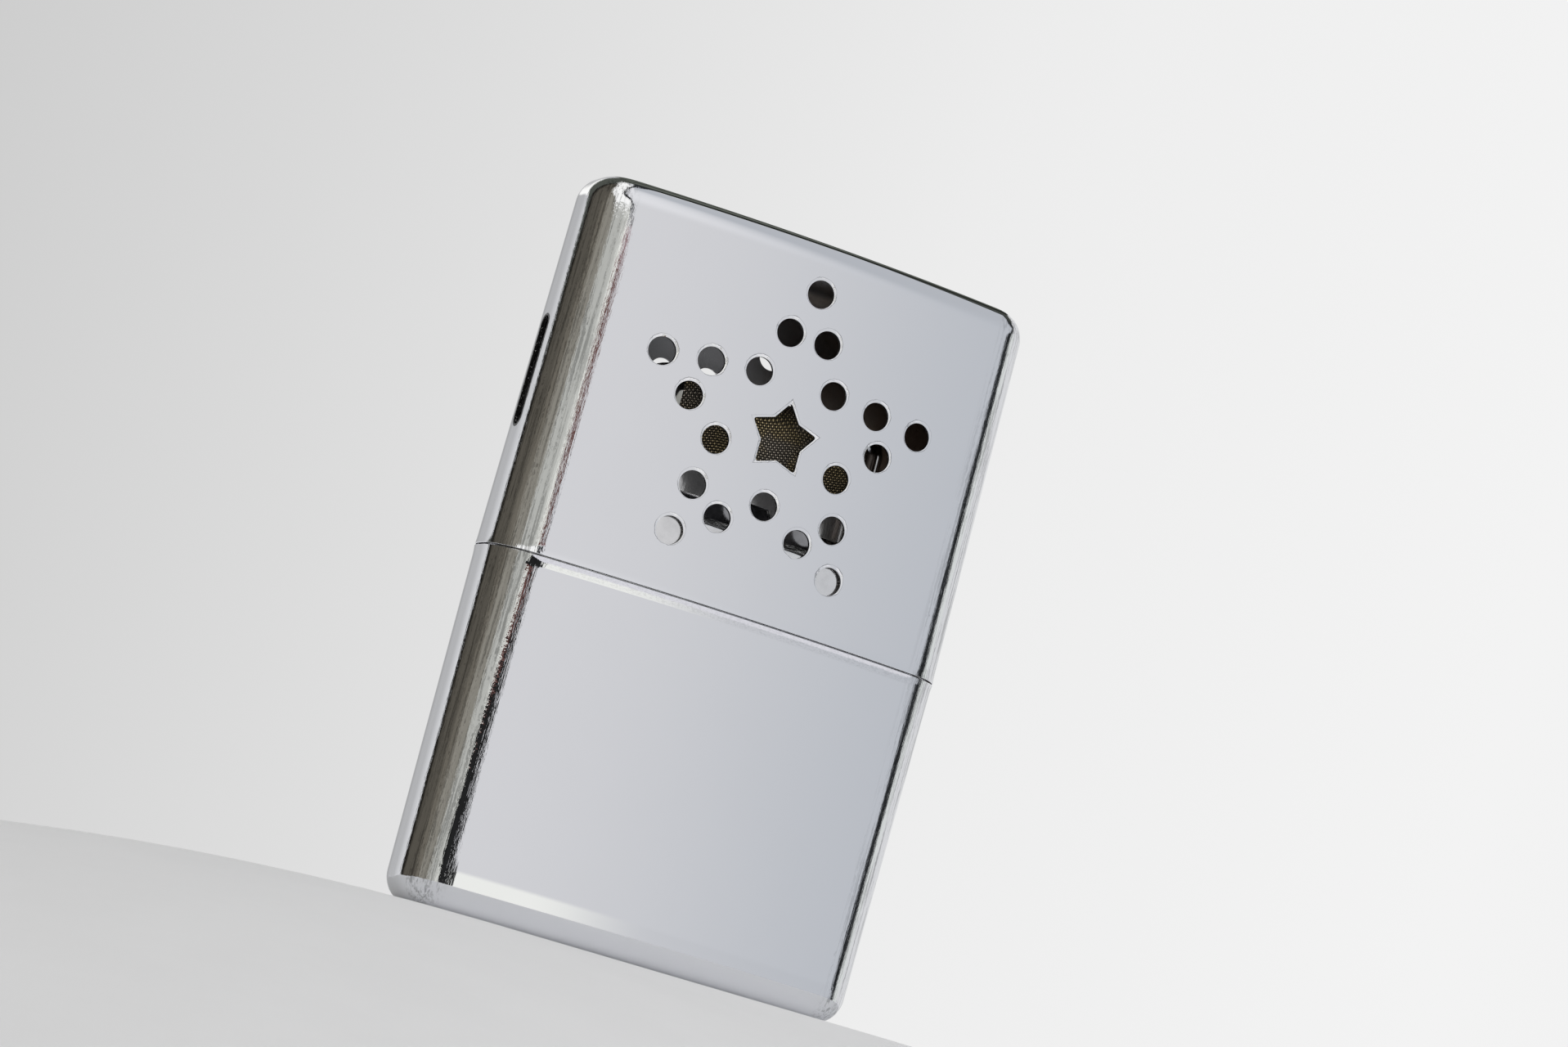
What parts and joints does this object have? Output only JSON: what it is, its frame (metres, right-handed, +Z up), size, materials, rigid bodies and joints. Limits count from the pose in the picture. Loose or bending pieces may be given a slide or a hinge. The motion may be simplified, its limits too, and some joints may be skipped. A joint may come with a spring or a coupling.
{
  "type": "catalytic hand warmer",
  "caption": "Pocket hand warmer: plated fuel tank with a filler neck, a push-on catalytic burner under a gauze hood, and a slip-on lid vented by round holes in the outline of a star.",
  "frame": {"origin": "centre of the tank's flat base", "axes": "+Z up from the base to the closed top of the lid, -Y out of the front face, +X along the wide side to the right"},
  "size_m": [0.07, 0.021, 0.105],
  "materials": {
    "plated_case": "mirror polished plating with faint lengthwise polishing marks",
    "bright_collar": "bright drawn metal, lightly scratched where the lid slides",
    "solder": "dull, slightly rippled",
    "screen": "matt, heat tinted",
    "felt": "pressed wool felt",
    "cotton": "loose cotton wadding",
    "burner_metal": "plated, darkened by heat, fine vertical scratches",
    "gauze": "woven wire, olive brown from heat with golden glints",
    "wool": "dark platinum-treated fibre",
    "rivets": "dull brass"
  },
  "bodies": {
    "tank": {"tank_shell": "plated_case", "tank_collar": "bright_collar", "collar_solder": "solder", "filler_neck": "bright_collar", "neck_solder": "solder", "neck_screen": "screen", "wick_pad": "felt", "tank_wadding": "cotton"},
    "lid": {"lid_shell": "plated_case"},
    "burner": {"burner_socket": "burner_metal", "burner_tray": "burner_metal", "burner_deck": "screen", "end_cap_left": "burner_metal", "end_cap_right": "burner_metal", "gauze_hood": "gauze", "catalyst_wool": "wool", "cap_rivets": "rivets"}
  },
  "joints": [
    {"name": "lid_slide", "type": "slide", "parent": "tank", "child": "lid", "axis": [0, 0, 1], "range_m": [0, 0.09]},
    {"name": "burner_slide", "type": "slide", "parent": "tank", "child": "burner", "axis": [0, 0, 1], "range_m": [0, 0.017]}
  ]
}
